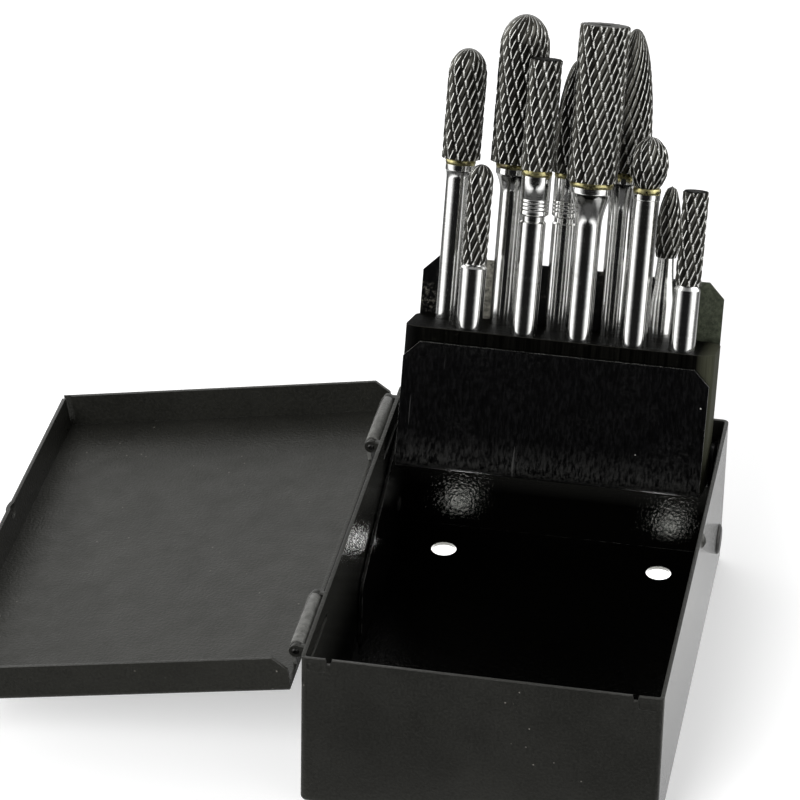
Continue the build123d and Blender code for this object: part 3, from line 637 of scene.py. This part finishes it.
def shank_profile(neck, seat, top):
    slim = SHANK - BORE_SLIM
    end = [(0, -IN_BORE), (slim - CHAMFER, -IN_BORE), (slim, CHAMFER - IN_BORE), (slim, -0.5),
           (SHANK, -0.3), (SHANK, -0.1)]
    if neck == "collar":
        foot, waist = top - COLLAR_LENGTH, SHANK - GROOVE
        body = [(SHANK, foot - 1.95), (SHANK, foot - 1.8), (waist, foot - 1.35), (waist, foot - 0.3),
                (seat - 0.35, foot)]
        rings = []
        for k in range(4):
            height = foot + 1.1 + 0.9 * k
            rings += [(seat, height), (seat - 0.06, height + 0.12), (seat, height + 0.24)]
        return end + body + [(seat, foot + 0.3)] + rings + [(seat, top), (0, top)]
    if neck in ("taper", "ring"):
        reach = TAPER_REACH if neck == "taper" else 2.6 * (seat - SHANK) + 1.0
        shoulder = top - SHOULDER
        flare = []
        for k in range(STEPS + 1):
            share = k / STEPS
            flare.append((SHANK + (seat - 0.15 - SHANK) * share**2, shoulder - reach * (1 - share)))
        lip = [(seat - 0.02, shoulder + 0.12), (seat, shoulder + 0.3), (seat, top), (0, top)]
        return end + flare + lip
    if neck == "narrow":
        bow = []
        for k in range(STEPS + 1):
            share = k / STEPS
            bow.append((SHANK + (seat - SHANK) * (1 - (1 - share) ** 1.6), top - NARROW_REACH * (1 - share)))
        return end + bow + [(0, top)]
    return end + [(SHANK, top - 1.2), (SHANK, top - 1.0), (seat, top - 0.4), (seat, top), (0, top)]


def braze_ring(seat):
    bulge = [(seat - 0.05 + 0.16 * sin(pi * k / STEPS), BRAZE * k / STEPS) for k in range(STEPS + 1)]
    return [(0, 0)] + bulge + [(0, BRAZE)]


for number, x, y, form, diameter, length, stand, neck, seat in BURRS:
    name = "burr_%02d" % number
    brazed = neck in ("ring", "collar", "taper")
    top = stand - length - (BRAZE if brazed else 0)
    profile = shank_profile(neck, seat, top)
    make_piece(spun(profile, SHANK_STEPS, mouth(x, y)), name + "_turned_shank", name,
               shank_steel, [name + "_shank"], SHANK_SHARP)
    if brazed:
        place = mouth(x, y) @ Matrix.Translation((0, 0, top * MM))
        make_piece(spun(braze_ring(seat), BRAZE_STEPS, place), name + "_braze_ring", name,
                   braze_brass, [name + "_braze"])
print("shanks", len(BURRS), "brazed", sum(row[7] in ("ring", "collar", "taper") for row in BURRS))

# %% [markdown]
# ## The floor
# The set stands on a pale light table. To the camera it is white. In reflections it is graded: dark before the
# case, pale around it, dimmer further out and brightest far to the sides, which draws the bright lines down the
# shanks and greys the right wall. It also shines up through the two floor holes, and the glossy inner walls
# repeat them as bright spots. Each row of the table of fades multiplies the strength of the reflection. The
# floor is as wide as a room, so its places are in metres.

# %% Floor
FLOOR_HALF, FLOOR_DROP = 6.0, 0.0002
UNDER_X, UNDER_Y, UNDER_GLOW, UNDER_SEEN = 0.04, 0.06, 9.0, 0.12
CAMERA_GLOW = 0.42
FAR_SIDES = (0.35, 0.6, 0.0, 1.5)
bm = bmesh.new()
bmesh.ops.create_grid(bm, x_segments=4, y_segments=4, size=FLOOR_HALF)
floor_mesh = bpy.data.meshes.new("studio_floor")
bm.to_mesh(floor_mesh)
bm.free()
floor = bpy.data.objects.new("studio_floor", floor_mesh)
bpy.context.scene.collection.objects.link(floor)
floor.location.z = -FLOOR_DROP
f = Finish("pale_floor", Specular_IOR_Level=0.0)
rays = f.add("LightPath")
across = f.add("SeparateXYZ", {"Vector": f.place})
along = across.outputs["Y"]
beside, deep = f.calc("ABSOLUTE", across.outputs["X"]), f.calc("ABSOLUTE", along)
# coordinate, where the fade starts and stops in metres, strength there and there
FADES = [
    (along, -0.085, -0.05, 0.1, 1.0),
    (along, -0.06, 0.05, 0.5, 0.72),
    (beside, 0.12, 0.2, 1.0, 0.2),
    (along, 0.04, 0.09, 1.0, 0.78),
    (along, 0.13, 0.24, 1.0, 0.4),
]
near = 1.0
for fade in FADES:
    near = f.calc("MULTIPLY", near, f.ranged(*fade))
behind = f.calc("ADD", near, f.ranged(beside, *FAR_SIDES))
mirrored = rays.outputs["Is Glossy Ray"]
pale = f.blend(f.noise(3, 2), (0.8, 0.8, 0.8), (0.84, 0.84, 0.84))
rough = f.ranged(f.noise(9, 2), 0, 1, 0.85, 0.95)
f.drive(Base_Color=f.blend(mirrored, pale, (0.03, 0.03, 0.03)), Roughness=rough)
under = f.calc("MULTIPLY", f.calc("LESS_THAN", beside, UNDER_X), f.calc("LESS_THAN", deep, UNDER_Y))
under = f.calc("MULTIPLY", under, UNDER_GLOW)
mirror_glow = f.calc("MULTIPLY", mirrored, f.calc("ADD", behind, under))
seen = f.calc("ADD", f.calc("MULTIPLY", under, UNDER_SEEN), CAMERA_GLOW)
glow = f.calc("ADD", f.calc("MULTIPLY", rays.outputs["Is Camera Ray"], seen), mirror_glow)
f.drive(Emission_Strength=glow)
f.shader.inputs["Emission Color"].default_value = (1, 1, 1, 1)
floor_mesh.materials.append(f.material)
print("floor", 2 * FLOOR_HALF, "m wide, faded", len(FADES), "times")

# %% [markdown]
# ## Surround and lamps
# White surrounds the set on both sides and behind, and greys the lid by reflection. The side of the camera is
# dark, which gives the steel its black core. Reflections see two brighter strips at the sides, as between two
# tall softboxes. The two lamps only light the surfaces and hide from reflections, so that no lamp shows in the
# steel.

# %% World and lamps
scene = bpy.context.scene
scene.view_settings.view_transform = "Standard"
world = bpy.data.worlds.new("studio_surround")
scene.world = world
world.use_nodes = True
tree = world.node_tree
direction = tree.nodes.new("ShaderNodeTexCoord").outputs["Generated"]
split = tree.nodes.new("ShaderNodeSeparateXYZ")
tree.links.new(direction, split.inputs[0])


def falloff(value, start, stop, low, high):
    """Strength that changes smoothly from low to high as the value goes from start to stop."""
    node = tree.nodes.new("ShaderNodeMapRange")
    node.interpolation_type = "SMOOTHSTEP"
    for socket, number in zip(("From Min", "From Max", "To Min", "To Max"), (start, stop, low, high)):
        node.inputs[socket].default_value = number
    tree.links.new(value, node.inputs["Value"])
    return node.outputs["Result"]


def world_math(operation, *values):
    node = tree.nodes.new("ShaderNodeMath")
    node.operation = operation
    for socket, value in zip(node.inputs, values):
        tree.links.new(value, socket)
    return node.outputs[0]


def either(share, otherwise, chosen):
    """The chosen strength where share is 1, and the other one where it is 0."""
    node = tree.nodes.new("ShaderNodeMix")
    tree.links.new(share, node.inputs[0])
    tree.links.new(otherwise, node.inputs[2])
    if isinstance(chosen, float):
        node.inputs[3].default_value = chosen
    else:
        tree.links.new(chosen, node.inputs[3])
    return node.outputs[0]


# each: where the change starts and stops on that axis, strength at the start and at the stop
DARK_FRONT = (-0.92, -0.3, 0.01, 1.0)
DIM_TOP = (0.5, 0.9, 1.0, 0.25)
BRIGHT_SIDES = (0.5, 0.8, 1.0, 2.0)
front = falloff(split.outputs["Y"], *DARK_FRONT)
surround = world_math("MULTIPLY", front, falloff(split.outputs["Z"], *DIM_TOP))
strips = falloff(world_math("ABSOLUTE", split.outputs["X"]), *BRIGHT_SIDES)
rays = tree.nodes.new("ShaderNodeLightPath")
reflected = either(rays.outputs["Is Glossy Ray"], surround, world_math("MULTIPLY", surround, strips))
shown = either(rays.outputs["Is Camera Ray"], reflected, 1.0)
tree.links.new(shown, tree.nodes["Background"].inputs["Strength"])
tree.nodes["Background"].inputs["Color"].default_value = (1, 1, 1, 1)


def soft_lamp(name, place, aim, size, power):
    light = bpy.data.lights.new(name, "AREA")
    light.shape = "RECTANGLE"
    light.size, light.size_y = size
    light.energy = power
    lamp = bpy.data.objects.new(name, light)
    scene.collection.objects.link(lamp)
    lamp.location = place
    lamp.rotation_euler = (Vector(aim) - Vector(place)).to_track_quat("-Z", "Y").to_euler()
    lamp.visible_glossy = False


soft_lamp("overhead_softbox", (-0.25, 0.35, 0.95), (0, 0, 0.05), (0.8, 0.6), 3.0)
soft_lamp("front_softbox", (-0.35, -0.9, 0.6), (-0.03, 0, 0.05), (0.6, 0.6), 11.0)

# %% [markdown]
# ## The camera
# The camera looks down by thirty degrees and stands a little to the right, a metre away with a long lens, so
# that the upright lines stay nearly parallel.

# %% Camera
YAW, PITCH, ROLL = radians(-9.8), radians(30.417), radians(1.17)
DISTANCE, FOCAL_PIXELS, PICTURE_PIXELS, SENSOR = 1000.0, 4316.8, 800, 36
AIM = Vector((-30.3, 0, 72.03))
ahead = Vector((sin(YAW) * cos(PITCH), cos(YAW) * cos(PITCH), -sin(PITCH)))
level = Vector((cos(YAW), -sin(YAW), 0))
above = level.cross(ahead)
right = cos(ROLL) * level + sin(ROLL) * above
up = -sin(ROLL) * level + cos(ROLL) * above
lens = bpy.data.cameras.new("photo_camera")
lens.sensor_width = SENSOR
lens.lens = FOCAL_PIXELS / PICTURE_PIXELS * SENSOR
lens.clip_start, lens.clip_end = 0.01, 50
camera = bpy.data.objects.new("photo_camera", lens)
scene.collection.objects.link(camera)
turn = Matrix((right, up, -ahead)).transposed().to_4x4()
camera.matrix_world = Matrix.Translation((AIM - ahead * DISTANCE) * MM) @ turn
scene.camera = camera
print("camera at", [round(c, 3) for c in camera.location], "lens", round(lens.lens, 1))
